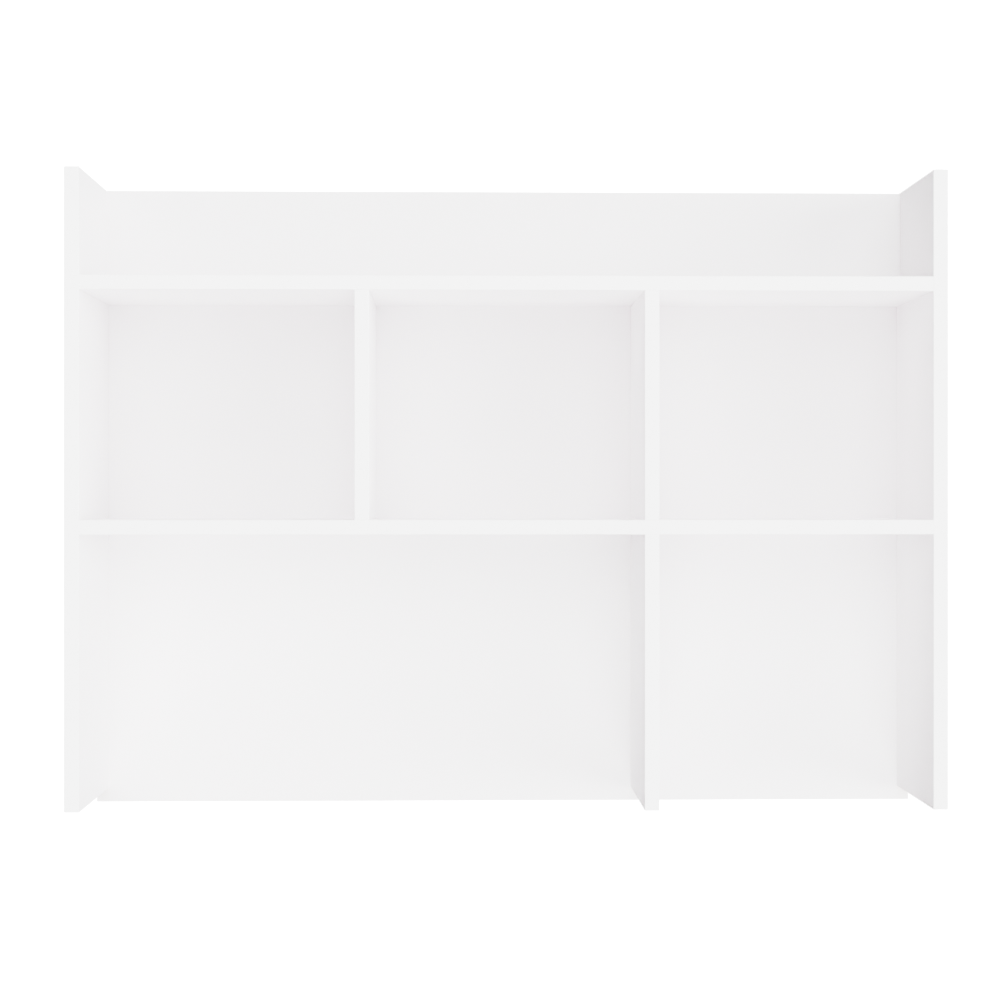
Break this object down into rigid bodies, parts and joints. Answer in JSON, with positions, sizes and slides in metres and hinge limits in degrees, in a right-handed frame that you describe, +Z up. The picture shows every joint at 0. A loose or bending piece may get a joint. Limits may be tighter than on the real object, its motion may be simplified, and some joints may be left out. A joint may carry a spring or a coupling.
{
  "type": "desk hutch",
  "caption": "Open desk hutch: a ledge with a back rail over a row of cubbies, and open bays below that stand straight on the desk top, closed behind by a thin nailed back panel.",
  "frame": {"origin": "on the desk top at its rear edge, midway along the hutch: in the plane of the undersides of the two sides and the lower divider, where that plane meets the front face of the back panel", "axes": "+X to the right along the hutch's length as seen from its open front, +Y to the back, through the back panel, +Z up. z = 0 is the desk top, and the back panel hangs 18 mm below it behind the desk"},
  "size_m": [1.1, 0.2037, 0.818],
  "materials": {
    "white_laminate": "chipboard faced with smooth white melamine, satin; raw chipboard on the edges without edging",
    "white_edging": "white plastic edging, satin, with its corners rounded over",
    "white_hardboard": "thin hardboard, painted smooth white in front and bare brown behind",
    "zinc": "die-cast zinc, dull grey",
    "zinc_plated_steel": "steel with bright zinc plating",
    "beech": "plain beech, fluted",
    "white_plastic": "moulded white plastic, satin"
  },
  "bodies": {
    "root": {"left_side": "white_laminate", "right_side": "white_laminate", "top_shelf": "white_laminate", "middle_shelf": "white_laminate", "top_rail": "white_laminate", "left_divider": "white_laminate", "right_divider": "white_laminate", "lower_divider": "white_laminate", "back_panel": "white_hardboard", "left_side_front_edging": "white_edging", "right_side_front_edging": "white_edging", "left_side_top_edging": "white_edging", "right_side_top_edging": "white_edging", "top_shelf_edging": "white_edging", "middle_shelf_edging": "white_edging", "top_rail_edging": "white_edging", "left_divider_edging": "white_edging", "right_divider_edging": "white_edging", "lower_divider_edging": "white_edging", "top_shelf_cams": "zinc", "middle_shelf_cams": "zinc", "top_rail_cams": "zinc", "top_shelf_cam_bolts": "zinc_plated_steel", "middle_shelf_cam_bolts": "zinc_plated_steel", "top_rail_cam_bolts": "zinc_plated_steel", "shelf_dowels": "beech", "top_rail_dowels": "beech", "right_divider_dowels": "beech", "upper_divider_screws": "zinc_plated_steel", "left_divider_foot_screws": "zinc_plated_steel", "lower_divider_screws": "zinc_plated_steel", "cam_caps": "white_plastic", "screw_caps": "white_plastic", "back_nails": "zinc_plated_steel"}
  },
  "joints": []
}
